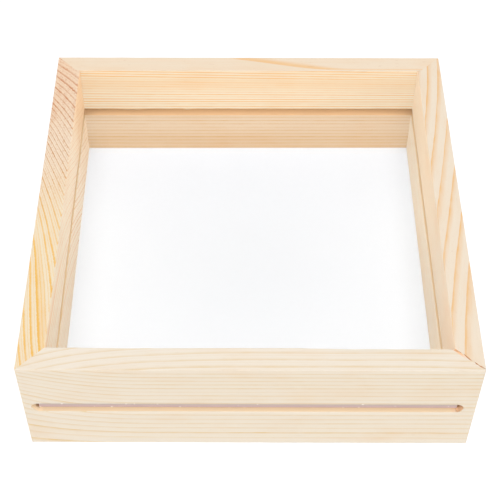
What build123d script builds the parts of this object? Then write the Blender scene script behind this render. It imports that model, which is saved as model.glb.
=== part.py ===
"""Butterfly display case: four mitred pine rails, a white board let into their underside, and a clear cover
that slides in grooves and pulls out through a slot in the front rail.

Millimetres. The case stands on Z = 0, centred on the Z axis, with its front rail towards -Y and +X to the right.
"""

import os

from build123d import *

# Rails
case_width = 180.0  # outside, left to right
case_depth = 180.0  # outside, front to back
rail_height = 52.5
rail_thickness = 10.8
rail_edge_round = 0.5  # sanded long edges
corner_round = 0.8  # sanded upright corners

# Groove for the cover, in the inner faces of the left, right and back rails. The front slot is as high.
groove_height = 5.5
groove_depth = 6.6
groove_floor = 23.5  # above the underside of the rails

# Clear cover
cover_thickness = 3.0
cover_recess = 2.1  # how far the pushed-in cover stops behind the front face
cover_side_play = 2.8  # to the bottom of each side groove
cover_end_gap = 0.3  # to the bottom of the back groove
cover_rest_gap = 0.1  # to the groove floor
cover_edge_break = 0.2

# Backing board, flush in a rebate around the underside
board_thickness = 2.0
board_edge_gap = 0.3
rebate_width = 5.0

# Brads that hold the board
brad_length = 10.0
brad_diameter = 1.0
brad_head_diameter = 2.2
brad_head_thickness = 0.4
brad_point = 1.6
brad_sink = 0.15  # heads lie this far inside the board's underside
brad_spacing = 60.0
brads_per_rail = 3

# V-shaped nails driven up into each mitre from below
v_nail_leg = 6.0
v_nail_gauge = 0.5
v_nail_height = 10.0
v_nail_margin = 3.6  # from the outer faces to the nail's spine
v_nail_sink = 0.2

fastener_gap = 0.05  # around each nail in the wood

# Levels and half sizes that follow
groove_middle = groove_floor + groove_height / 2
half_width = case_width / 2
half_depth = case_depth / 2
inner_half_width = half_width - rail_thickness
inner_half_depth = half_depth - rail_thickness


def brad_points():
    """Brad centres, in the middle of the ledge that the board lies against."""
    first = -(brads_per_rail - 1) * brad_spacing / 2
    along_rail = [first + step * brad_spacing for step in range(brads_per_rail)]
    points = []
    for side in (-1, 1):
        points += [(along, side * (inner_half_depth + rebate_width / 2)) for along in along_rail]
        points += [(side * (inner_half_width + rebate_width / 2), along) for along in along_rail]
    return points


def v_nail_plan(gap):
    """Plan of the four corner nails, each grown by the gap, with a leg along each of the two rails."""
    with BuildSketch(mode=Mode.PRIVATE) as plan:
        for side in (-1, 1):
            for end in (-1, 1):
                spine = (side * (half_width - v_nail_margin), end * (half_depth - v_nail_margin))
                with BuildLine() as legs:
                    Polyline(
                        (spine[0] - side * v_nail_leg, spine[1]),
                        spine,
                        (spine[0], spine[1] - end * v_nail_leg),
                    )
                trace(legs.line, v_nail_gauge)
        if gap > 0:
            offset(amount=gap, kind=Kind.INTERSECTION)
    return plan.sketch


def mitred_rail(turn, length, reach, grooved):
    """One rail, turned about the case's axis from the front side, with its outer face at the reach."""
    side = Plane.XY.rotated((0, 0, turn))
    middle = (0, rail_thickness / 2 - reach, rail_height / 2)
    across = Plane(side.from_local_coords(middle), x_dir=side.y_dir, z_dir=side.x_dir)
    with BuildPart() as rail:
        with BuildSketch(across):
            RectangleRounded(rail_thickness, rail_height, rail_edge_round)
            with Locations(((rail_thickness - rebate_width) / 2, (board_thickness - rail_height) / 2)):
                Rectangle(rebate_width, board_thickness, mode=Mode.SUBTRACT)
            if grooved:
                with Locations(((rail_thickness - groove_depth) / 2, groove_middle - rail_height / 2)):
                    Rectangle(groove_depth, groove_height, mode=Mode.SUBTRACT)
        extrude(amount=length / 2, both=True)
        for end in (-1, 1):
            corner = side.from_local_coords((end * length / 2, -reach, 0))
            split(bisect_by=Plane(corner, z_dir=side.x_dir * end + side.y_dir), keep=Keep.BOTTOM)
        with BuildSketch():
            RectangleRounded(case_width, case_depth, corner_round)
        extrude(amount=rail_height, mode=Mode.INTERSECT)
        # Room for the brads and for the corner nails
        with BuildSketch():
            with Locations(brad_points()):
                Circle(brad_diameter / 2 + fastener_gap)
        extrude(amount=brad_sink + brad_length + fastener_gap, mode=Mode.SUBTRACT)
        with BuildSketch():
            add(v_nail_plan(fastener_gap))
        extrude(amount=v_nail_sink + v_nail_height + fastener_gap, mode=Mode.SUBTRACT)
    return rail


back_rail = mitred_rail(180, case_width, half_depth, grooved=True)
right_rail = mitred_rail(90, case_depth, half_width, grooved=True)
left_rail = mitred_rail(-90, case_depth, half_width, grooved=True)

# The front rail has the slot right through it, with the round ends of the cutter
with BuildPart() as front_rail:
    add(mitred_rail(0, case_width, half_depth, grooved=False).part)
    with BuildSketch(Plane.XZ):
        with Locations((0, groove_middle)):
            SlotOverall(2 * (inner_half_width + groove_depth), groove_height)
    extrude(amount=case_depth, mode=Mode.SUBTRACT)

# Clear cover, pushed home against the back groove
cover_front = -half_depth + cover_recess
cover_back = inner_half_depth + groove_depth - cover_end_gap
cover_width = 2 * (inner_half_width + groove_depth - cover_side_play)
with BuildPart() as clear_cover:
    with BuildSketch(Plane.XY.offset(groove_floor + cover_rest_gap)):
        with Locations((0, (cover_front + cover_back) / 2)):
            Rectangle(cover_width, cover_back - cover_front)
    extrude(amount=cover_thickness)
    chamfer(clear_cover.edges(), cover_edge_break)

# Backing board, counterbored for the brads
board_margin = rebate_width - board_edge_gap
with BuildPart() as backing_board:
    with BuildSketch():
        Rectangle(2 * (inner_half_width + board_margin), 2 * (inner_half_depth + board_margin))
        with Locations(brad_points()):
            Circle(brad_diameter / 2 + fastener_gap, mode=Mode.SUBTRACT)
    extrude(amount=board_thickness)
    with BuildSketch():
        with Locations(brad_points()):
            Circle(brad_head_diameter / 2 + fastener_gap)
    extrude(amount=brad_sink + brad_head_thickness, mode=Mode.SUBTRACT)

# One brad, standing on its head
with BuildPart() as brad:
    with BuildSketch(Plane.XZ):
        with BuildLine():
            Polyline(
                (0, brad_sink),
                (brad_head_diameter / 2, brad_sink),
                (brad_head_diameter / 2, brad_sink + brad_head_thickness),
                (brad_diameter / 2, brad_sink + brad_head_thickness),
                (brad_diameter / 2, brad_sink + brad_length - brad_point),
                (0, brad_sink + brad_length),
                close=True,
            )
        make_face()
    revolve(axis=Axis.Z)

with BuildPart() as board_brads:
    with Locations(brad_points()):
        add(brad.part)

with BuildPart() as corner_v_nails:
    with BuildSketch(Plane.XY.offset(v_nail_sink)):
        add(v_nail_plan(0))
    extrude(amount=v_nail_height)

pieces = {
    "front_rail": front_rail,
    "back_rail": back_rail,
    "left_rail": left_rail,
    "right_rail": right_rail,
    "clear_cover": clear_cover,
    "backing_board": backing_board,
    "board_brads": board_brads,
    "corner_v_nails": corner_v_nails,
}

os.makedirs("parts", exist_ok=True)
for name, piece in pieces.items():
    piece.part.label = name
    export_step(piece.part, f"parts/{name}.step")
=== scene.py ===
"""Butterfly display case, dressed for the render.

Four mitred pine rails with a sliding cover of clear acrylic, a white backing board, brads and corner nails.
Lengths are written in millimetres, as in the CAD, and turned into metres where a mesh is made.
"""

import math

import bmesh
import bpy
from mathutils import Matrix, Vector, noise


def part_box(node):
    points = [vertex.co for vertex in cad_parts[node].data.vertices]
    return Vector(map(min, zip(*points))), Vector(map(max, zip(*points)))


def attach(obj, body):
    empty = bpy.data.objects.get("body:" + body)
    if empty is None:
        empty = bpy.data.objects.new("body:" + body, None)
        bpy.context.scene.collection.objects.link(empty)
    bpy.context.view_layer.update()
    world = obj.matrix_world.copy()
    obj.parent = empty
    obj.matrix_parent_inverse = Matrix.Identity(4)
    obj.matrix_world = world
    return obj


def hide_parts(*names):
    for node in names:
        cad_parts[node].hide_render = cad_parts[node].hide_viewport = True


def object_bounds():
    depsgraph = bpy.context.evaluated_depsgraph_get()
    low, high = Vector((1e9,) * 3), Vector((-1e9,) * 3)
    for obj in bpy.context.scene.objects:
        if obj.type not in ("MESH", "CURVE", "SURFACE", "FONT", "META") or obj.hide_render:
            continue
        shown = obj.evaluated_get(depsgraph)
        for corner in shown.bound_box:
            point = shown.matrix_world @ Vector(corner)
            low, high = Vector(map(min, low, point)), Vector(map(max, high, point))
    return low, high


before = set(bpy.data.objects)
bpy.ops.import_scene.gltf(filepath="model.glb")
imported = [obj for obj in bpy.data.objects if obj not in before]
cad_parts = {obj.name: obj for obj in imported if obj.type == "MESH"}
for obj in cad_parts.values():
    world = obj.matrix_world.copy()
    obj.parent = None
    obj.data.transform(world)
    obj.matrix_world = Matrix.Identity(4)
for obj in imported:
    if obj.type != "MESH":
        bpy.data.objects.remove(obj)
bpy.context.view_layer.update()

MM = 0.001

# ---------------------------------------------------------------- sizes, as in the CAD
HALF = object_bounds()[1].x / MM  # from the middle to an outer face
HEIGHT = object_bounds()[1].z / MM
RAIL = 10.8  # rail thickness
GROOVE_FLOOR = 23.5
GROOVE_ROOF = 29.0
GROOVE_DEPTH = 6.6
GROOVE_BOTTOM = RAIL - GROOVE_DEPTH  # measured from the outer face
REBATE_ROOF = 2.0
REBATE_SIDE = RAIL - 5.0  # measured from the outer face
EDGE_ROUND = 0.5
LIP_ROUND = 0.15
CORNER_ROUND = 0.8
INNER = HALF - RAIL
SLOT_HALF = INNER + GROOVE_DEPTH
SLOT_SHIFT = -0.9  # the slot was cut a little to the left
SHEET_SHIFT = -0.6  # and so does the sheet lie
SHEET_SPARE = 0.5  # how much wider the sheet was sawn, at each side

# ---------------------------------------------------------------- camera, fitted to the photograph's edges
CAMERA_PLACE = (-0.0045, -0.3521, 0.4319)
CAMERA_TILT = math.radians(51.116)  # below the horizon
CAMERA_HEADING = math.radians(-0.300)
CAMERA_ROLL = math.radians(-0.086)
FRAME_PX = 500
FOCAL_PX = 1208.2
OPTICAL_AXIS_PX = (234.5, 280.9)
SENSOR = 36.0
CLIP_START = 0.01


def make_camera():
    forward = Vector((
        math.sin(CAMERA_HEADING) * math.cos(CAMERA_TILT),
        math.cos(CAMERA_HEADING) * math.cos(CAMERA_TILT),
        -math.sin(CAMERA_TILT),
    ))
    level = Vector((math.cos(CAMERA_HEADING), -math.sin(CAMERA_HEADING), 0))
    upward = level.cross(forward)
    right = level * math.cos(CAMERA_ROLL) + upward * math.sin(CAMERA_ROLL)
    up = upward * math.cos(CAMERA_ROLL) - level * math.sin(CAMERA_ROLL)
    data = bpy.data.cameras.new("camera")
    data.sensor_width = SENSOR
    data.lens = FOCAL_PX * SENSOR / FRAME_PX
    data.shift_x = 0.5 - OPTICAL_AXIS_PX[0] / FRAME_PX
    data.shift_y = OPTICAL_AXIS_PX[1] / FRAME_PX - 0.5
    data.clip_start = CLIP_START
    camera = bpy.data.objects.new("camera", data)
    axes = Matrix((right, up, -forward)).transposed().to_4x4()
    camera.matrix_world = Matrix.Translation(CAMERA_PLACE) @ axes
    bpy.context.scene.collection.objects.link(camera)
    bpy.context.scene.camera = camera


# ---------------------------------------------------------------- shader arithmetic
class Field:
    """A number that varies over a surface. Arithmetic on it adds Math nodes to its material."""

    def __init__(self, tree, socket):
        self.tree = tree
        self.socket = socket

    def math(self, operation, *others):
        node = self.tree.nodes.new("ShaderNodeMath")
        node.operation = operation
        for into, value in zip(node.inputs, (self, *others)):
            plug(self.tree, into, value)
        return Field(self.tree, node.outputs[0])

    def __add__(self, other):
        return self.math("ADD", other)

    __radd__ = __add__

    def __sub__(self, other):
        return self.math("SUBTRACT", other)

    def __rsub__(self, other):
        return self * -1.0 + other

    def __mul__(self, other):
        return self.math("MULTIPLY", other)

    __rmul__ = __mul__

    def __truediv__(self, other):
        return self.math("DIVIDE", other)

    def above(self, floor):
        return self.math("MAXIMUM", floor)

    def below(self, roof):
        return self.math("MINIMUM", roof)

    def size(self):
        return self.math("ABSOLUTE")

    def square(self):
        return self * self

    def root(self):
        return self.math("SQRT")

    def whole(self):
        return self.math("FLOOR")

    def rest(self):
        return self.math("FRACT")

    def step(self, start, end, low=0.0, high=1.0):
        """Eases from low to high while the field goes from start to end."""
        node = self.tree.nodes.new("ShaderNodeMapRange")
        node.interpolation_type = "SMOOTHSTEP"
        values = {"Value": self, "From Min": start, "From Max": end, "To Min": low, "To Max": high}
        for name, value in values.items():
            plug(self.tree, node.inputs[name], value)
        return Field(self.tree, node.outputs["Result"])

    def hash(self):
        """A chance number from 0 to 1 for each value."""
        node = self.tree.nodes.new("ShaderNodeTexWhiteNoise")
        node.noise_dimensions = "1D"
        plug(self.tree, node.inputs["W"], self)
        return Field(self.tree, node.outputs["Value"])


def plug(tree, into, value):
    if isinstance(value, Field):
        tree.links.new(value.socket, into)
    elif isinstance(value, bpy.types.NodeSocket):
        tree.links.new(value, into)
    elif isinstance(value, tuple) and len(value) == 3 and into.type == "RGBA":
        into.default_value = (*value, 1.0)
    else:
        into.default_value = value


def srgb(red, green, blue):
    """A colour given as screen values from 0 to 255, as the linear numbers that Blender wants."""
    shares = [value / 255 for value in (red, green, blue)]
    return tuple(share / 12.92 if share <= 0.04045 else ((share + 0.055) / 1.055) ** 2.4 for share in shares)


def mix(tree, share, first, second, how="MIX"):
    """Colour between first and second."""
    node = tree.nodes.new("ShaderNodeMix")
    node.data_type = "RGBA"
    node.blend_type = how
    node.clamp_factor = True
    plug(tree, node.inputs[0], share)
    plug(tree, node.inputs[6], first)
    plug(tree, node.inputs[7], second)
    return node.outputs[2]


def grain_noise(tree, along, across, over, detail=2.0, rough=0.5):
    """Smooth chance field around 0, from about -0.5 to 0.5, over three coordinates."""
    combine = tree.nodes.new("ShaderNodeCombineXYZ")
    for into, value in zip(combine.inputs, (along, across, over)):
        plug(tree, into, value)
    node = tree.nodes.new("ShaderNodeTexNoise")
    tree.links.new(combine.outputs[0], node.inputs["Vector"])
    node.inputs["Scale"].default_value = 1.0
    node.inputs["Detail"].default_value = detail
    node.inputs["Roughness"].default_value = rough
    return Field(tree, node.outputs["Fac"]) - 0.5


def ray_kinds(tree, *kinds):
    """1 for rays of the given kinds, and 0 for others."""
    path = tree.nodes.new("ShaderNodeLightPath")
    return sum(Field(tree, path.outputs[kind]) for kind in kinds).below(1.0)


def place_fields(tree):
    """The surface point at rest, as x, y and z in millimetres."""
    where = tree.nodes.new("ShaderNodeTexCoord")
    parts = tree.nodes.new("ShaderNodeSeparateXYZ")
    tree.links.new(where.outputs["Object"], parts.inputs[0])
    return tuple(Field(tree, socket) * (1 / MM) for socket in parts.outputs)


def new_material(name):
    material = bpy.data.materials.new(name)
    material.use_nodes = True
    tree = material.node_tree
    return material, tree, tree.nodes["Principled BSDF"]


def add_bump(tree, shader, height, distance):
    node = tree.nodes.new("ShaderNodeBump")
    node.inputs["Strength"].default_value = 1.0
    node.inputs["Distance"].default_value = distance * MM
    plug(tree, node.inputs["Height"], height)
    tree.links.new(node.outputs[0], shader.inputs["Normal"])


# ---------------------------------------------------------------- pine
# On every rail, s runs along it from its middle, d is the depth from its outer face, and z is the height.
# u and v are s and d as shares of the half length and the thickness. A ring count grows by one over each
# ring. The curves in the four ring functions are fitted to how the rings run along each face in the photo.
RING_END = 0.94  # where the dark late wood of a ring peaks, as a share of the ring
MEAN_STRENGTH = 0.775  # of the late wood, over all rings
CORE_DRAW, STRENGTH_DRAW = 7.3, 31.7  # keep these two chance numbers of a ring apart from its first
HALF_RING = 0.3  # where the thin lines between the rings start
STREAKS = 0.35  # weights of the other marks of wood
CLOUDS = 1.2
FIBRES, MORE_FIBRES = 0.5, 0.7  # everywhere, and on top of that on the inner faces
CANALS = 0.12
SAWN_COVER = 0.9  # how much a saw cut hides of the wood's own tone
PINE_GLOSS = 0.35
PINE_ROUGHNESS = 0.62
PINE_RELIEF = 0.03


def on_top(z, start=0.5):
    """1 on the top of a rail and 0 from a little below it."""
    return z.step(HEIGHT - start, HEIGHT - 0.1)


def above_groove(z):
    """1 above the groove and 0 below it."""
    return z.step(GROOVE_FLOOR, GROOVE_ROOF)


def is_ring(ring, number):
    """1 in one ring and 0 in the others."""
    return (ring - number).size().step(0.4, 0.6, 1.0, 0.0)


def front_rings(s, d, z):
    """Growth rings of the front rail. They rise towards its left end, and fan out there over the top."""
    pith_depth, pith_height = 56.0, -27.0
    rise_start = -42.0
    ring_width = 1.95
    radius = ((d - pith_depth).square() + (z - pith_height).square()).root()
    end = (rise_start - s).above(0.0)
    lift = (z * 0.0246 + 0.15).below(1.0)
    face = (radius - end.square() * lift * 0.003) / ring_width
    u = s / HALF
    top = 4.5 + RING_END + u * (0.18 + u * (u * (1.36 - 1.3 * u) - 0.47)) - d * 0.303
    return face + (top - face) * on_top(z + (d * 0.2).below(1.5))


def back_rings(s, d, z):
    """Growth rings of the back rail, nearly level, with the top lying inside a single ring."""
    upper_width, lower_width = 1.45, 2.1
    tilt = s * z.step(30.0, 50.0) * 0.015
    upper = (z + 1.0 - tilt) / upper_width
    lower = z / lower_width + 0.27
    face = lower + (upper - lower) * above_groove(z)
    top = 36.28 - (RAIL - d) * 0.008
    return face + (top - face) * on_top(z)


def left_rings(s, d, z):
    """Growth rings of the left rail. They cross it at its back end and run along it at the front."""
    u = s / HALF
    v = d / RAIL
    # On top: the rings met along the outer edge, and how many more lie towards the inner one
    edge = 23.1 + RING_END + u * (14.64 + u * (5.8 * u * u - 13.45))
    slant = v * 0.37 - 5.51 + u * (1.89 + u * (2.34 - 3.34 * u))
    back = ((u + 1.05) * (-0.38 - u)).above(0.0) * 6.5
    return edge + v * (slant + back) + (HEIGHT - z) * 0.33


def right_rings(s, d, z):
    """Growth rings of the right rail, at a small slant along it."""
    u = s / HALF
    edge = 5.26 + RING_END + u * (3.36 - u * (0.07 + 0.71 * u))
    return edge + d * (0.193 + 0.017 * u) + (HEIGHT - z) * 0.42


def back_flame(s, d, z, ring):
    """The one broad line on the back rail's top, which bends from the outer edge towards the inner one."""
    x = -1.0 * s
    away = d - x.step(-20.0, 42.0, 0.0, 8.4)
    width = x.step(25.0, 50.0, 3.8, 0.7)
    soft = (away / width).step(-1.0, -0.15)
    flame = soft * away.step(0.0, 0.5, 1.0, 0.0)
    flame = flame * x.step(-10.0, -3.0) * x.step(30.0, 45.0, 0.9, 0.75)
    return flame * on_top(z) * 0.9


def back_rows(z):
    """How strong the lines are on the back wall: strong at its top, faint below that, and strong again."""
    return z.step(46.5, 49.0, 0.3, 1.15) + z.step(37.0, 40.0, 0.9, 0.0)


def back_wash_and_shade(z):
    """How much orange late wood the back wall gets at each level, from 0 to 1, with a painted shade just
    below the groove.
    """
    upper = z.step(36.5, 44.5, 0.02, 0.36) * z.step(45.5, 48.0, 1.0, 0.45)
    # Below the groove: more orange towards the floor, and a painted shade that darkens the wall just under
    # the groove.
    lower = z.step(8.0, 19.0, 0.34, 0.06) + z.step(17.0, 23.0, 0.0, 0.1)
    return lower + (upper - lower) * above_groove(z)


def back_lean(s, z):
    """How far the inner face of the back rail leans back: the rail is a little twisted."""
    foot = s * -0.0044 - 0.35
    head = 1.4
    return foot + (head - foot) * (z - REBATE_ROOF) * (1 / (HEIGHT - REBATE_ROOF))


def left_blush(s, d, z, ring):
    """The left rail's orange patches near its back end, flecks over its back half, and one yellow ring."""
    patch_weight, yellow_weight, fleck_weight = 0.2, 0.3, 0.32
    zone = s.step(-74.0, -64.0) * s.step(-52.0, -38.0, 1.0, 0.0)
    patches = grain_noise(s.tree, s * 0.14, d * 0.35, z * 0.3, 3.0).step(-0.03, 0.16)
    yellow = is_ring(ring, 26.0) * s.step(15.0, 40.0)
    flecks = grain_noise(s.tree, s * 1.1, d * 1.1, z * 1.1, 2.0, 0.6).step(0.05, 0.14)
    flecks = flecks * s.step(-15.0, 20.0, 1.0, 0.0)
    return zone * patches * patch_weight + yellow * yellow_weight + flecks * fleck_weight


def right_pale(s, d, z, ring):
    """The right rail's last ring at the front has no dark line."""
    return is_ring(ring, 3.0) * -1.0


def along(first, middle, last):
    """A tone that changes from one end of a rail to the other."""
    def tone(tree, s):
        start = mix(tree, s.step(-75.0, -30.0), srgb(*first), srgb(*middle))
        return mix(tree, s.step(-30.0, 25.0), start, srgb(*last))
    return tone


def evenly(red, green, blue):
    """A tone that is the same all along a rail."""
    return lambda tree, s: srgb(red, green, blue)


FIBRE = srgb(249, 226, 196)
CLOUD = srgb(253, 231, 203)
RESIN = srgb(206, 160, 122)
# The sawn tones are partly painted light: the groove tones are written with red at its top, redder than the
# planed wood, to lift the shade deep in the grooves. The slot's tone is darker, as painted shade on the
# slot's floor.
GROOVE = srgb(255, 205, 150)  # sawn wood deep inside the back groove
GROOVE_LIP = srgb(255, 206, 152)  # and nearer to its mouth
SIDE_GROOVE = srgb(255, 220, 172)
SLOT = srgb(233, 204, 164)
# The slot ends are partly painted light and shade: the left end's pale tone is painted light, and the darkest
# tone paints a shadow deep in the left end as well as dark patches in the right one.
SLOT_END = srgb(232, 184, 142)  # the slot's right end, between its dark patches
SLOT_PALE = srgb(247, 217, 179)  # the slot's left end
SLOT_PATCH_AND_SHADE = srgb(140, 88, 54)
CRACK = srgb(240, 188, 142)  # the inside of an open mitre
BOUNCE = (0.91, 0.93, 0.95)  # the tint of the light that the planed wood throws on what is near it
SAWN_BOUNCE = (1.0, 0.92, 0.80)

# How each rail looks.
# turn: its direction, in degrees from the front rail's.
# rings: its ring count. lean: how far its inner face leans back.
# wander and jitter: how far a ring strays from its curve, slowly and from point to point, in rings.
# core and shade: where a ring's dark line and the soft shade before it start, as shares of the ring.
# soft: the shade's weight towards each end of the rail, from -s to s. The rest of the weight is the line's.
# fine: strength of the thin line between two rings.
# line, wall_line and low_line: strength of the rings outside, and inside above and below the cover.
# rows: how that strength changes with height on the inner face.
# uneven: how much it differs from ring to ring. ends: its share towards each end of the rail, from -s to s.
# outer, top, wall and low: tone of the wood outside, on top, and inside above and below the cover; the inner
# tones are painted paler, as painted light against the shade inside the case.
# Names that end in _late are those of the late wood. A rail that names no top has the outer tone there.
# mark and wash: late wood added in places of its own; the back wall's wash also paints shade just below the
# groove.
# sawn: tones deep in the groove or slot, and near its mouth, partly painted light and shade.
PINE = {
    "front_rail": {
        "turn": 0, "rings": front_rings, "wander": 0.2, "jitter": 0.02,
        "core": 0.80, "shade": 0.45, "soft": (0.45, 0.45), "fine": 0.12,
        "line": 0.85, "wall_line": 0.5, "low_line": 0.5, "uneven": 0.65, "ends": (1.0, 1.0),
        "outer": evenly(224, 211, 192), "outer_late": evenly(216, 187, 135),
        "top": evenly(227, 215, 198),
        "wall": evenly(248, 230, 203), "wall_late": evenly(238, 204, 160),
        "low": evenly(248, 230, 203), "low_late": evenly(238, 204, 160),
        "sawn": (SLOT, GROOVE_LIP),
    },
    "right_rail": {
        "turn": 90, "rings": right_rings, "wander": 0.15, "jitter": 0.02,
        "core": 0.80, "shade": 0.38, "soft": (0.65, 0.65), "fine": 0.0,
        "line": 1.15, "wall_line": 0.5, "low_line": 0.9, "uneven": 0.2, "ends": (1.0, 1.0),
        "mark": right_pale,
        "outer": evenly(226, 210, 188), "outer_late": evenly(225, 179, 122),
        "wall": along((241, 214, 182), (235, 217, 191), (243, 220, 188)),
        "low": along((250, 234, 207), (231, 217, 195), (243, 229, 205)),
        "wall_late": evenly(246, 188, 130), "low_late": evenly(236, 186, 124),
        "sawn": (SIDE_GROOVE, SIDE_GROOVE),
    },
    "back_rail": {
        "turn": 180, "rings": back_rings, "wander": 0.12, "jitter": 0.02, "lean": back_lean,
        "core": 0.62, "shade": 0.38, "soft": (0.45, 0.45), "fine": 0.1,
        "line": 0.9, "wall_line": 1.25, "low_line": 0.65, "uneven": 0.65, "ends": (1.0, 1.0),
        "rows": back_rows, "wash": back_wash_and_shade, "mark": back_flame,
        "outer": evenly(227, 208, 183), "outer_late": evenly(228, 184, 130),
        "wall": evenly(237, 221, 194), "wall_late": evenly(234, 183, 119),
        "low": evenly(233, 209, 180), "low_late": evenly(216, 167, 106),
        "sawn": (GROOVE, GROOVE_LIP),
    },
    "left_rail": {
        "turn": 270, "rings": left_rings, "wander": 0.3, "jitter": 0.22,
        "core": 0.68, "shade": 0.40, "soft": (0.3, 0.6), "fine": 0.45,
        "line": 0.8, "wall_line": 0.5, "low_line": 0.7, "uneven": 0.9, "ends": (1.3, 1.0),
        "mark": left_blush,
        "outer": along((229, 201, 171), (231, 211, 186), (228, 212, 184)),
        "outer_late": along((192, 121, 74), (196, 142, 92), (229, 179, 89)),
        "wall": along((249, 209, 164), (249, 231, 204), (241, 227, 202)),
        "low": along((252, 228, 197), (248, 233, 210), (237, 223, 200)),
        "wall_late": evenly(236, 182, 124), "low_late": evenly(229, 179, 124),
        "sawn": (SIDE_GROOVE, SIDE_GROOVE),
    },
}


def rail_fields(tree, turn):
    """s, d and z of the surface point on the rail with this turn."""
    x, y, z = place_fields(tree)
    if turn == 0:
        return x, y + HALF, z
    if turn == 90:
        return y, HALF - x, z
    if turn == 180:
        return -1.0 * x, HALF - y, z
    return -1.0 * y, x + HALF, z


def ring_count(tree, grain, s, d, z):
    """The rail's rings, with the irregular growth of real wood."""
    wander = grain_noise(tree, s * 0.02, d * 0.12, z * 0.12, 1.0) * grain["wander"]
    wobble = grain_noise(tree, s * 0.09, d * 0.7, z * 0.7, 2.0) * 0.09
    jitter = grain_noise(tree, s * 1.3, d * 1.3, z * 1.3, 2.0) * grain["jitter"]
    return grain["rings"](s, d, z) + wander + wobble + jitter


def late_wood(grain, s, count):
    """The dark part of each ring: a soft shade that ends in a line."""
    ring = count.whole()
    inside = count.rest()
    shade = inside.step(grain["shade"] - 0.1 + ring.hash() * 0.2, RING_END)
    core = inside.step(grain["core"] - 0.06 + (ring + CORE_DRAW).hash() * 0.14, RING_END - 0.02)
    soft = s.step(-40.0, 30.0, *grain["soft"])
    return (shade * soft + core * (1.0 - soft)) * inside.step(RING_END + 0.02, 1.0, 1.0, 0.0)


def fine_lines(grain, s, count):
    """Thin lines between the rings' own."""
    half = (count * 2.0 + HALF_RING).rest()
    fine = half.step(0.5, RING_END) * half.step(RING_END, 1.0, 1.0, 0.0)
    return fine * s.step(-65.0, -25.0, 0.45, 1.0) * grain["fine"]


def face_tone_with_painted_light(tree, grain, s, wall, low, late=""):
    """The tone of the early or late wood on each face, with the inner faces painted paler as painted light.
    """
    inside = mix(tree, low, grain["wall" + late](tree, s), grain["low" + late](tree, s))
    return mix(tree, wall, grain["outer" + late](tree, s), inside)


def slot_end_colour(tree, s, d, z, sawn, colour):
    """The colour with the slot's round ends: paler wood in the left one as painted light, with a painted
    shadow in its deep part, and dark patches in the right one.
    """
    reach = (s - SLOT_SHIFT).size()
    left = s.step(-1.0, 1.0, 1.0, 0.0)
    end = sawn * reach.step(SLOT_HALF - 5.0, SLOT_HALF - 2.5)
    # A painted shadow in the deep part of the left end
    shade_spot = d.step(1.4, 2.2) * reach.step(SLOT_HALF - 3.0, SLOT_HALF - 2.6)
    shade_spot = shade_spot * reach.step(SLOT_HALF - 0.9, SLOT_HALF - 1.6)
    # Dark patches in the right end
    dark_patch = grain_noise(tree, s * 0.9, d * 0.3, z * 1.1, 2.0).step(-0.08, 0.1)
    dark_patch = dark_patch * reach.step(SLOT_HALF - 3.0, SLOT_HALF - 2.5) * 0.8
    patch_and_shade = shade_spot * left * 0.6 + dark_patch * (1.0 - left)
    # The left end is written paler, as painted light
    wood = mix(tree, left, SLOT_END, SLOT_PALE)
    return mix(tree, end, colour, mix(tree, patch_and_shade, wood, SLOT_PATCH_AND_SHADE))


def open_mitre(s, d, z):
    """1 on the walls of a gap in a mitre, which lie a little below the top."""
    beside = (HALF - d - s.size()).step(1.3, 1.6, 1.0, 0.0)
    mitre = beside * d.step(0.5, 0.8) * d.step(RAIL - 0.2, RAIL, 1.0, 0.0)
    under = z.step(HEIGHT - 0.3, HEIGHT - 0.12, 1.0, 0.0)
    shallow = z.step(HEIGHT - 0.16, HEIGHT - 0.1, 1.0, 0.0) * d.step(RAIL - 0.6, RAIL - 0.4, 1.0, 0.0)
    return mitre * z.step(HEIGHT - 3.0, HEIGHT - 2.5) * under.above(shallow)


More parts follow.
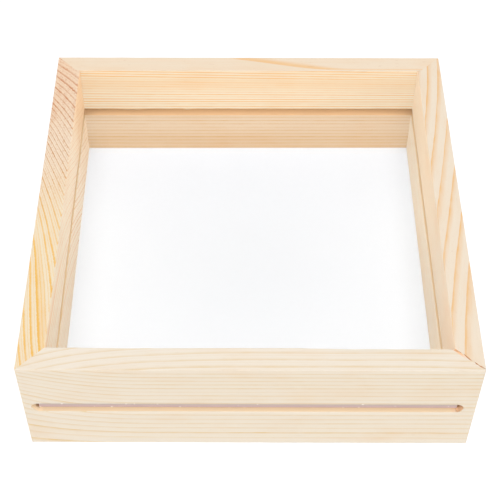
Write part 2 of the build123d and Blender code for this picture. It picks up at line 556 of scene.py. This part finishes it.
def pine(name, grain):
    """Sanded pine: growth rings, streaks, fibres, resin canals and the tone of each face."""
    material, tree, shader = new_material(name)
    s, d, z = rail_fields(tree, grain["turn"])
    count = ring_count(tree, grain, s, d, z)
    ring = count.whole()
    late = late_wood(grain, s, count)
    fine = fine_lines(grain, s, count)
    strength = ((ring + STRENGTH_DRAW).hash() - 0.5) * grain["uneven"] + MEAN_STRENGTH
    strength = strength * s.step(-60.0, -10.0, *grain["ends"])
    patchy = grain_noise(tree, s * 0.13, ring * 3.7, d * 0.3, 3.0) * 1.5 + 1.0
    streak = grain_noise(tree, s * 0.03, count * 6.0, d * 0.7, 3.0, 0.6)
    fibre = grain_noise(tree, s * 0.12, count * 15.0, (d + z) * 2.2, 2.0, 0.6)
    cloud = grain_noise(tree, s * 0.03, d * 0.09, z * 0.07, 2.0)
    # Faces
    top = on_top(z, 0.45)
    face = d + grain["lean"](s, z) if "lean" in grain else d
    wall = face.step(RAIL - 0.5, RAIL - 0.1) * (1.0 - top)
    low = z.step(GROOVE_FLOOR - 1.0, GROOVE_ROOF, 1.0, 0.0)
    # Painted light: the inner faces get paler tones than the outer ones, against the shade inside the case.
    early = face_tone_with_painted_light(tree, grain, s, wall, low)
    dark = face_tone_with_painted_light(tree, grain, s, wall, low, "_late")
    if "top" in grain:
        early = mix(tree, top, early, grain["top"](tree, s))
    # Strength of the lines on each face
    wall_line = grain["wall_line"]
    if "rows" in grain:
        wall_line = grain["rows"](z) * wall_line
    wall_line = low * (grain["low_line"] - wall_line) + wall_line
    line = (wall * (wall_line - grain["line"]) + grain["line"]) * strength * patchy
    share = late * line + fine * patchy + streak * STREAKS
    # The wash includes a painted shade just below the back groove.
    if "wash" in grain:
        share = share + grain["wash"](z) * wall
    if "mark" in grain:
        share = share + grain["mark"](s, d, z, ring)
    colour = mix(tree, share.above(0.0).below(1.0), early, dark)
    colour = mix(tree, (cloud * CLOUDS).above(0.0), colour, CLOUD, "MULTIPLY")
    colour = mix(tree, (fibre * (wall * MORE_FIBRES + FIBRES)).above(0.0), colour, FIBRE, "MULTIPLY")
    # Resin canals: short fine dashes along the grain
    canal = grain_noise(tree, s * 0.35, count * 11.0, (d - z) * 1.4, 0.0)
    dash = canal.step(0.26, 0.32) * CANALS
    colour = mix(tree, dash, colour, RESIN, "MULTIPLY")
    # Sawn surfaces inside the groove or slot, in tones that are partly painted light and shade, and the
    # inside of the open mitre
    sawn = z.step(GROOVE_FLOOR - 0.15, GROOVE_FLOOR) * z.step(GROOVE_ROOF, GROOVE_ROOF + 0.15, 1.0, 0.0)
    sawn = sawn * d.step(0.15, 0.4) * face.step(RAIL - 0.15, RAIL - 0.02, 1.0, 0.0)
    mouth = face.step(RAIL - 3.2, RAIL - 1.7)
    colour = mix(tree, sawn * SAWN_COVER, colour, mix(tree, mouth, *grain["sawn"]))
    if grain["rings"] is front_rings:
        colour = slot_end_colour(tree, s, d, z, sawn, colour)
    colour = mix(tree, open_mitre(s, d, z), colour, CRACK)
    # What the wood throws on its surroundings is paler than what is seen of it
    thrown = ray_kinds(tree, "Is Diffuse Ray") * (sawn * 0.2 + 0.8)
    bounce = mix(tree, sawn, BOUNCE, SAWN_BOUNCE)
    tree.links.new(mix(tree, thrown, colour, bounce), shader.inputs["Base Color"])
    rough = PINE_ROUGHNESS + fibre * 0.12 - late * 0.08
    tree.links.new(rough.socket, shader.inputs["Roughness"])
    shader.inputs["Specular IOR Level"].default_value = PINE_GLOSS
    add_bump(tree, shader, late * 0.35 + fibre * 0.5 - dash * 0.8, PINE_RELIEF)
    return material


# ---------------------------------------------------------------- meshes
def lofted(name, rows):
    """A closed mesh over rows of points, with one face at each end."""
    work = bmesh.new()
    rows = [[work.verts.new(point) for point in row] for row in rows]
    for first, second in zip(rows, rows[1:]):
        for i in range(len(first)):
            j = (i + 1) % len(first)
            work.faces.new((first[i], first[j], second[j], second[i]))
    work.faces.new(rows[0][::-1])
    work.faces.new(rows[-1])
    bmesh.ops.recalc_face_normals(work, faces=work.faces)
    mesh = bpy.data.meshes.new(name)
    work.to_mesh(mesh)
    work.free()
    return mesh


def add_piece(name, mesh, body, slot, *nodes):
    piece = bpy.data.objects.new(name, mesh)
    bpy.context.scene.collection.objects.link(piece)
    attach(piece, body)
    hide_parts(*nodes)
    return piece


def cut(piece, shape):
    """Cuts a shape away from a piece and leaves plain mesh behind."""
    cutter = bpy.data.objects.new("cutter", shape)
    bpy.context.scene.collection.objects.link(cutter)
    modifier = piece.modifiers.new("cut", "BOOLEAN")
    modifier.operation = "DIFFERENCE"
    modifier.solver = "EXACT"
    modifier.object = cutter
    bpy.context.view_layer.update()
    shaped = bpy.data.meshes.new_from_object(piece.evaluated_get(bpy.context.evaluated_depsgraph_get()))
    piece.modifiers.clear()
    piece.data = shaped
    bpy.data.objects.remove(cutter)


CREASE = math.radians(38)


def shade_by_angle(mesh):
    """Smooth shading, with the edges sharper than the crease angle kept crisp."""
    work = bmesh.new()
    work.from_mesh(mesh)
    for face in work.faces:
        face.smooth = True
    for edge in work.edges:
        edge.smooth = len(edge.link_faces) == 2 and edge.calc_face_angle(0) < CREASE
    work.to_mesh(mesh)
    work.free()


def smooth_noise(*point):
    return noise.noise(Vector(point))


def turned(s, d, z, turn):
    """From along, depth and height on a rail to the shared frame, in metres."""
    angle = math.radians(turn)
    x, y = s, d - HALF
    return Vector((
        (x * math.cos(angle) - y * math.sin(angle)) * MM,
        (x * math.sin(angle) + y * math.cos(angle)) * MM,
        z * MM,
    ))


# ---------------------------------------------------------------- rails
ARC_STEPS = 5  # over a rounded edge
FLAT_STEP = 2.4  # about how far the points of a section lie apart
EDGE_SUPPORT = 0.5  # the last point of a flat before a rounded edge
STATION_STEP = 3.0  # between two sections
END_STATIONS = (0.0, 0.12, 0.25, 0.4, 0.6, 0.9, 1.4, 2.2, 3.6, 5.6)  # sections near each end, from that end
WEAR = 0.35  # how unevenly the edges are rounded, as a share of their radius
WEAR_LENGTH = 7  # about the length of one worn place
HOLLOW = 0.035  # how deep the sanding left the top uneven
HOLLOW_LENGTH, HOLLOW_WIDTH = 22, 9
HOLLOW_MARGIN = 0.6  # how far the hollows keep from the long edges

# Cross-section of a grooved rail: depth, height and radius of each corner
GROOVED = (
    (0.0, 0.0, EDGE_ROUND),
    (REBATE_SIDE, 0.0, LIP_ROUND),
    (REBATE_SIDE, REBATE_ROOF, 0.0),
    (RAIL, REBATE_ROOF, LIP_ROUND),
    (RAIL, GROOVE_FLOOR, LIP_ROUND),
    (GROOVE_BOTTOM, GROOVE_FLOOR, 0.0),
    (GROOVE_BOTTOM, GROOVE_ROOF, 0.0),
    (RAIL, GROOVE_ROOF, LIP_ROUND),
    (RAIL, HEIGHT, EDGE_ROUND),
    (0.0, HEIGHT, EDGE_ROUND),
)
PLAIN = GROOVED[:4] + GROOVED[8:]

LEAN_START = 2.0  # this far out from the groove's bottom the back rail starts to lean

# Small faults along a rail: corner of its section, start, end, length of the change at each side, growth of
# that corner's round, and its fall
FAULTS = {
    "front_rail": ((4, 20.0, 101.0, 22.0, 0.8, 0.28), (4, -79.0, -20.0, 22.0, 0.6, 0.2)),
    "back_rail": ((7, 57.0, 70.0, 1.5, 0.0, 0.35), (7, 30.0, 35.5, 1.5, 0.0, 0.4)),
}


def arc_points(before, corner, after, radius):
    """The rounded corner of an outline, from its tangent point on the way in to the one on the way out."""
    if radius <= 0:
        return [corner]
    into = (corner - before).normalized()
    out = (after - corner).normalized()
    start = corner - into * radius
    centre = start + out * radius
    turn = math.pi / 2
    points = []
    for step in range(ARC_STEPS + 1):
        angle = turn * step / ARC_STEPS
        points.append(centre - out * radius * math.cos(angle) + into * radius * math.sin(angle))
    return points


def outline(corners, wear):
    """Closed outline of a rail's cross-section as (depth, height), always with the same number of points."""
    places = [Vector(corner[:2]) for corner in corners]
    count = len(places)
    arcs = []
    for i, (*_, radius) in enumerate(corners):
        worn = radius * (1 + wear(i)) if radius > 0 else 0
        arcs.append(arc_points(places[i - 1], places[i], places[(i + 1) % count], worn))
    points = []
    for i in range(count):
        points += arcs[i]
        start, end = arcs[i][-1], arcs[(i + 1) % count][0]
        nominal = (places[(i + 1) % count] - places[i]).length
        parts = max(1, round(nominal / FLAT_STEP))
        way = (end - start).normalized()
        length = (end - start).length
        support = min(EDGE_SUPPORT, length / 4)
        points.append(start + way * support)
        for part in range(1, parts):
            points.append(start + way * (length * part / parts))
        points.append(end - way * support)
    return points


def stations():
    """Where a rail is cut into sections, from -1 to 1 along its outer face."""
    near = [1 - distance / HALF for distance in END_STATIONS]
    reach = near[-1]
    parts = round(2 * reach * HALF / STATION_STEP)
    middle = [-reach + 2 * reach * part / parts for part in range(1, parts)]
    return sorted([-value for value in near] + middle + near)


def round_upright(s, d):
    """Moves a point outside the sanded upright corner onto it."""
    side = math.copysign(1, s)
    centre = Vector((HALF - CORNER_ROUND, CORNER_ROUND))
    away = Vector((abs(s), d)) - centre
    if away.x > 0 and away.y < 0 and away.length > CORNER_ROUND:
        away = centre + away.normalized() * CORNER_ROUND
        return side * away.x, away.y
    return s, d


def with_faults(corners, faults, s):
    """The corners of a section at a place along the rail, changed by the faults there."""
    changed = [list(corner) for corner in corners]
    for i, start, end, change, growth, fall in faults:
        inside = min(s - start, end - s)
        share = max(0.0, min(1.0, inside / change))
        changed[i][1] -= fall * share
        changed[i][2] *= 1 + growth * share
    return changed


def leaning(turn, t, d, z):
    """Depth of a point and reach of its section, with the lean of the back rail and of what meets it."""
    if turn == 180:
        share = max(0.0, (d - GROOVE_BOTTOM - LEAN_START) / (RAIL - GROOVE_BOTTOM - LEAN_START))
        new = d - back_lean(t * INNER, z) * share
        return new, HALF - min(d, new)
    if (turn, t) == (90, 1.0):
        return d, max(HALF - d, INNER + back_lean(-INNER, z))
    if (turn, t) == (270, -1.0):
        return d, max(HALF - d, INNER + back_lean(INNER, z))
    return d, HALF - d


def rail_mesh(name, turn, corners, faults, seed):
    rows = []
    for t in stations():
        along_face = t * HALF

        def wear(i):
            return WEAR * smooth_noise(along_face / WEAR_LENGTH, i * 3.1, seed)

        row = []
        for d, z in outline(with_faults(corners, faults, along_face), wear):
            if z > HEIGHT - 1 and HOLLOW_MARGIN < d < RAIL - HOLLOW_MARGIN:
                place = along_face / HOLLOW_LENGTH, (d + z) / HOLLOW_WIDTH, seed + 40
                z = z - HOLLOW * (1 + smooth_noise(*place))
            d, reach = leaning(turn, t, d, z)
            s, d = round_upright(t * reach, d)
            row.append(turned(s, d, z, turn))
        rows.append(row)
    return lofted(name, rows)


# The front slot's cutter: (distance behind the front face, growth of its outline)
SLOT_SECTIONS = (
    (-0.5, 0.5), (-0.02, 0.28), (0.1, 0.1), (0.28, 0.0),
    (RAIL - 0.2, 0.0), (RAIL - 0.02, 0.12), (RAIL + 0.5, 0.5),
)
SLOT_ARC_STEPS = 14
SLOT_STEP = 2.2
RUNOUT = 2.6  # rise of the slot's lower edge towards its left end
TORN, SMOOTH = 0.3, 0.05  # how rough the cut is at the front near its ends, and elsewhere
TORN_REACH = 4.0  # how far the torn part goes from an end's round


def slot_path(straight, reach):
    """The slot's outline from its upper right, as (along, rise, and the direction outwards in both)."""
    path = []
    parts = round(2 * straight / SLOT_STEP)
    for side in (1, -1):
        for part in range(parts + 1):
            path.append((side * (straight - 2 * straight * part / parts), side * reach, 0.0, side))
        for part in range(1, SLOT_ARC_STEPS):
            angle = side * math.pi / 2 + math.pi * part / SLOT_ARC_STEPS
            out_s, out_z = math.cos(angle), math.sin(angle)
            path.append((-side * straight + reach * out_s, reach * out_z, out_s, out_z))
    return path


def slot_cutter():
    middle = (GROOVE_FLOOR + GROOVE_ROOF) / 2
    radius = (GROOVE_ROOF - GROOVE_FLOOR) / 2
    straight = SLOT_HALF - radius
    rows = []
    for depth, growth in SLOT_SECTIONS:
        row = []
        reach = radius + growth
        for s, rise, out_s, out_z in slot_path(straight, reach):
            runout = max(0.0, min(1.0, (-s - straight) / radius))
            rise = max(rise, RUNOUT * runout - reach)
            torn = TORN if abs(s) > straight - TORN_REACH and depth < RAIL / 2 else SMOOTH
            rough = torn * smooth_noise(s / 2.5, rise / 2, depth)
            row.append(turned(s + SLOT_SHIFT + out_s * rough, depth, middle + rise + out_z * rough, 0))
        rows.append(row)
    return lofted("slot_cutter", rows)


# The gap in the right front mitre: distance from the outer faces, width, and how far it strays from the mitre
GAP = (
    (0.2, 0.4, 0.6), (0.9, 0.7, 0.65), (1.4, 0.5, 0.4), (2.0, 0.9, 0.3), (2.5, 0.4, 0.15),
    (2.9, 0.35, 0.2), (3.4, 0.75, 0.15), (4.0, 0.3, 0.15), (4.2, 0.04, 0.1), (4.9, 0.04, 0.1),
    (5.1, 0.3, -0.1), (5.8, 0.75, -0.05), (6.8, 0.8, 0.1), (7.6, 0.4, 0.15), (7.9, 0.06, 0.1),
    (8.6, 0.06, 0.0), (8.8, 0.3, -0.05), (9.5, 0.35, -0.15), (9.8, 1.1, -0.45), (RAIL + 0.3, 1.5, -0.65),
)
GAP_DEPTH = 1.1  # where it is widest
GAP_ABOVE = 0.5  # how far the cutter stands out of the rails
GAP_TAPER = 0.6  # width at the bottom, as a share of the width on top


def gap_cutter():
    """A thin ragged wedge along the mitre of the front and right rails."""
    away = Vector((1, 1)).normalized()
    rows = []
    for d, width, stray in GAP:
        middle = Vector((HALF - d, d - HALF)) + away * stray
        across = away * width / 2
        bottom = HEIGHT - GAP_DEPTH * min(1.0, 0.4 + width)
        corners = (
            (middle - across, HEIGHT + GAP_ABOVE), (middle + across, HEIGHT + GAP_ABOVE),
            (middle + across * GAP_TAPER, bottom), (middle - across * GAP_TAPER, bottom),
        )
        rows.append([Vector((*place, z)) * MM for place, z in corners])
    return lofted("gap_cutter", rows)


def make_rails():
    for seed, (node, grain) in enumerate(PINE.items()):
        corners = PLAIN if node == "front_rail" else GROOVED
        mesh = rail_mesh(node, grain["turn"], corners, FAULTS.get(node, ()), seed * 17.0)
        piece = add_piece("pine_" + node, mesh, "case", "pine", node)
        if node == "front_rail":
            cut(piece, slot_cutter())
        if node in ("front_rail", "right_rail"):
            cut(piece, gap_cutter())
        shade_by_angle(piece.data)
        piece.data.materials.clear()
        piece.data.materials.append(pine("pine_" + node, grain))


# ---------------------------------------------------------------- cover
ACRYLIC_IOR = 1.49
EDGE_TINT = srgb(206, 176, 175)  # greyish violet
EDGE_TINT_UP = srgb(194, 180, 168)  # towards its upper side
EDGE_MARK = srgb(178, 155, 154)
EDGE_SPECK = srgb(250, 246, 240)
SHEET_CHAMFER = 0.2
SHEET_PARTS = 40  # points along each side


def clear_acrylic():
    material, tree, shader = new_material("clear_acrylic")
    shader.inputs["Transmission Weight"].default_value = 1.0
    shader.inputs["IOR"].default_value = ACRYLIC_IOR
    shader.inputs["Roughness"].default_value = 0.0
    shader.inputs["Base Color"].default_value = (1.0, 1.0, 1.0, 1.0)
    through = tree.nodes.new("ShaderNodeBsdfTransparent")
    through.inputs["Color"].default_value = (1.0, 1.0, 1.0, 1.0)
    both = tree.nodes.new("ShaderNodeMixShader")
    tree.links.new(ray_kinds(tree, "Is Shadow Ray", "Is Diffuse Ray").socket, both.inputs[0])
    tree.links.new(shader.outputs[0], both.inputs[1])
    tree.links.new(through.outputs[0], both.inputs[2])
    tree.links.new(both.outputs[0], tree.nodes["Material Output"].inputs["Surface"])
    return material


def sawn_acrylic():
    """The cut edges: milky, with a greyish violet tint and fine saw marks."""
    material, tree, shader = new_material("sawn_acrylic")
    x, y, z = place_fields(tree)
    marks = grain_noise(tree, (x + y) * 2.5, z * 0.4, 0.0, 2.0)
    specks = grain_noise(tree, (x + y) * 0.55, z * 0.9, 0.0, 0.0).step(0.27, 0.33)
    tint = mix(tree, z.step(24.2, 26.0), EDGE_TINT, EDGE_TINT_UP)
    tint = mix(tree, marks * 0.6 + 0.3, tint, EDGE_MARK)
    tree.links.new(mix(tree, specks, tint, EDGE_SPECK), shader.inputs["Base Color"])
    shader.inputs["Roughness"].default_value = 0.45
    shader.inputs["IOR"].default_value = ACRYLIC_IOR
    add_bump(tree, shader, marks, 0.02)
    return material


def make_cover():
    low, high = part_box("clear_cover")
    low, high = low / MM, high / MM
    low.x += SHEET_SHIFT - SHEET_SPARE
    high.x += SHEET_SHIFT + SHEET_SPARE
    levels = (
        (SHEET_CHAMFER, low.z), (0.0, low.z + SHEET_CHAMFER),
        (0.0, high.z - SHEET_CHAMFER), (SHEET_CHAMFER, high.z),
    )
    rows = []
    for inset, z in levels:
        ends = (
            (low.x + inset, low.y + inset), (high.x - inset, low.y + inset),
            (high.x - inset, high.y - inset), (low.x + inset, high.y - inset),
        )
        row = []
        for (x0, y0), (x1, y1) in zip(ends, ends[1:] + ends[:1]):
            for part in range(SHEET_PARTS):
                share = part / SHEET_PARTS
                row.append(Vector((x0 + (x1 - x0) * share, y0 + (y1 - y0) * share, z)) * MM)
        rows.append(row)
    mesh = lofted("clear_sheet", rows)
    mesh.materials.append(clear_acrylic())
    mesh.materials.append(sawn_acrylic())
    for edge_face in mesh.polygons[:-2]:
        edge_face.material_index = 1
    add_piece("clear_sheet", mesh, "cover", "clear_acrylic", "clear_cover")


# ---------------------------------------------------------------- backing board, brads and corner nails
# The board is written a little darker towards the back, as painted shade.
BOARD_NEAR = (srgb(254, 254, 253), srgb(251, 251, 250))  # light and dull, towards the front
BOARD_FAR = (srgb(248, 249, 250), srgb(245, 246, 247))
STEEL_LIGHT = srgb(176, 178, 180)
STEEL_DARK = srgb(148, 150, 152)


def white_board():
    """Smooth white facing with a very faint mottle, and painted shade that darkens it a little towards the
    back.
    """
    material, tree, shader = new_material("white_board")
    x, y, z = place_fields(tree)
    mottle = grain_noise(tree, x * 0.5, y * 0.5, z * 0.5, 3.0)
    # Painted shade: darker towards the back
    far = y.step(10.0, 80.0)
    light, dull = (mix(tree, far, *tones) for tones in zip(BOARD_NEAR, BOARD_FAR))
    tree.links.new(mix(tree, mottle + 0.5, light, dull), shader.inputs["Base Color"])
    shader.inputs["Roughness"].default_value = 0.5
    shader.inputs["Specular IOR Level"].default_value = 0.3
    add_bump(tree, shader, mottle, 0.01)
    return material


def drawn_steel():
    """Plain wire and strip, with fine lines from the drawing."""
    material, tree, shader = new_material("drawn_steel")
    x, y, z = place_fields(tree)
    lines = grain_noise(tree, x * 4.0, y * 4.0, z * 0.5, 2.0)
    tree.links.new(mix(tree, lines + 0.5, STEEL_LIGHT, STEEL_DARK), shader.inputs["Base Color"])
    shader.inputs["Metallic"].default_value = 1.0
    tree.links.new((lines * 0.2 + 0.35).socket, shader.inputs["Roughness"])
    return material


def dress_fixings():
    steel = drawn_steel()
    materials = {"backing_board": white_board(), "board_brads": steel, "corner_v_nails": steel}
    for node, material in materials.items():
        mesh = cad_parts[node].data
        mesh.materials.clear()
        mesh.materials.append(material)


# ---------------------------------------------------------------- floor, world and lamp
SEEN = ("Is Camera Ray", "Is Glossy Ray", "Is Transmission Ray")  # rays that meet the plain white studio
FLOOR_REACH = 3.0  # metres
FLOOR_WHITE = (0.82, 0.82, 0.82)  # towards the light that it throws back
FLOOR_GREY = (0.45, 0.45, 0.45)  # where it is seen, under its own glow
FLOOR_GLOW = 0.58
SKY_LEVEL = 0.62
SKY_BAND = 1.40
BAND_RISE = (0.05, 0.16)  # of the direction's height above the horizon
BAND_FALL = (0.35, 0.55)
DAYLIGHT = (0.985, 1.0, 1.03)
SOFTBOX_PLACE = (0.0, -0.80, 2.20)  # metres
SOFTBOX_TARGET = (0.0, 0.0, 0.0)
SOFTBOX_SIDE = 1.2
SOFTBOX_POWER = 19.0


def make_floor():
    mesh = bpy.data.meshes.new("floor")
    ends = (-FLOOR_REACH, FLOOR_REACH)
    mesh.from_pydata([(x, y, 0) for y in ends for x in ends], [], [(0, 1, 3, 2)])
    floor = bpy.data.objects.new("floor", mesh)
    bpy.context.scene.collection.objects.link(floor)
    material, tree, shader = new_material("floor")
    shader.inputs["Roughness"].default_value = 0.9
    shader.inputs["Specular IOR Level"].default_value = 0.0
    seen = ray_kinds(tree, *SEEN)
    tree.links.new(mix(tree, seen, FLOOR_WHITE, FLOOR_GREY), shader.inputs["Base Color"])
    glow = tree.nodes.new("ShaderNodeEmission")
    tree.links.new((seen * FLOOR_GLOW).socket, glow.inputs["Strength"])
    both = tree.nodes.new("ShaderNodeAddShader")
    tree.links.new(shader.outputs[0], both.inputs[0])
    tree.links.new(glow.outputs[0], both.inputs[1])
    tree.links.new(both.outputs[0], tree.nodes["Material Output"].inputs["Surface"])
    mesh.materials.append(material)


def make_world():
    """A white tent lit from all round, brighter low down than overhead, and plain white where it is seen."""
    world = bpy.data.worlds.new("tent")
    bpy.context.scene.world = world
    world.use_nodes = True
    tree = world.node_tree
    light = tree.nodes["Background"]
    where = tree.nodes.new("ShaderNodeTexCoord")
    parts = tree.nodes.new("ShaderNodeSeparateXYZ")
    tree.links.new(where.outputs["Generated"], parts.inputs[0])
    up = Field(tree, parts.outputs[2])
    level = up.step(*BAND_RISE) * up.step(*BAND_FALL, 1.0, 0.0) * SKY_BAND + SKY_LEVEL
    tree.links.new(level.socket, light.inputs["Strength"])
    light.inputs["Color"].default_value = (*DAYLIGHT, 1.0)
    white = tree.nodes.new("ShaderNodeBackground")
    both = tree.nodes.new("ShaderNodeMixShader")
    tree.links.new(ray_kinds(tree, *SEEN).socket, both.inputs[0])
    tree.links.new(light.outputs[0], both.inputs[1])
    tree.links.new(white.outputs[0], both.inputs[2])
    tree.links.new(both.outputs[0], tree.nodes["World Output"].inputs["Surface"])


def make_softbox():
    """One large soft lamp above the front, turned to the middle of the case."""
    data = bpy.data.lights.new("softbox", "AREA")
    data.shape = "RECTANGLE"
    data.size = SOFTBOX_SIDE
    data.size_y = SOFTBOX_SIDE
    data.energy = SOFTBOX_POWER
    data.color = DAYLIGHT
    lamp = bpy.data.objects.new("softbox", data)
    lamp.location = SOFTBOX_PLACE
    lamp.rotation_euler = (Vector(SOFTBOX_TARGET) - Vector(SOFTBOX_PLACE)).to_track_quat("-Z", "Y").to_euler()
    bpy.context.scene.collection.objects.link(lamp)


make_camera()
make_rails()
make_cover()
dress_fixings()
make_floor()
make_world()
make_softbox()

bpy.context.scene.view_settings.view_transform = "Standard"
